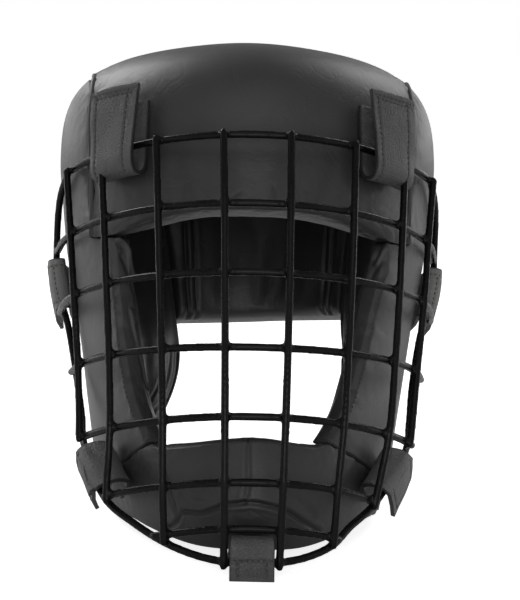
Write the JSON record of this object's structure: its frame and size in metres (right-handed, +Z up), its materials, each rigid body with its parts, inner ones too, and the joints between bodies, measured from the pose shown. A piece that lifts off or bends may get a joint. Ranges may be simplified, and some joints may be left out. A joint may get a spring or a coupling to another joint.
{
  "type": "caged sparring headgear",
  "caption": "Padded leather sparring headgear with a welded wire face cage held on by folded leather straps.",
  "frame": {"origin": "centre of the bounding box in plan, on the surface that the headgear stands on", "axes": "+Z up; -Y towards the face cage, +Y to the back of the head; +X to the right as seen from the front"},
  "size_m": [0.2396, 0.3406, 0.2745],
  "materials": {
    "pad_leather": "grained, semi-matt, dark grey",
    "strap_leather": "grained, semi-matt, dark grey",
    "coated_wire": "gloss black dip coating"
  },
  "bodies": {
    "root": {"forehead_pad": "pad_leather", "crown_pad": "pad_leather", "back_pad": "pad_leather", "side_pad_left": "pad_leather", "side_pad_right": "pad_leather", "chin_pad": "pad_leather", "face_cage": "coated_wire", "forehead_strap_left": "strap_leather", "forehead_strap_right": "strap_leather", "temple_strap_left": "strap_leather", "temple_strap_right": "strap_leather", "jaw_strap_left": "strap_leather", "jaw_strap_right": "strap_leather", "chin_strap": "strap_leather"}
  },
  "joints": []
}
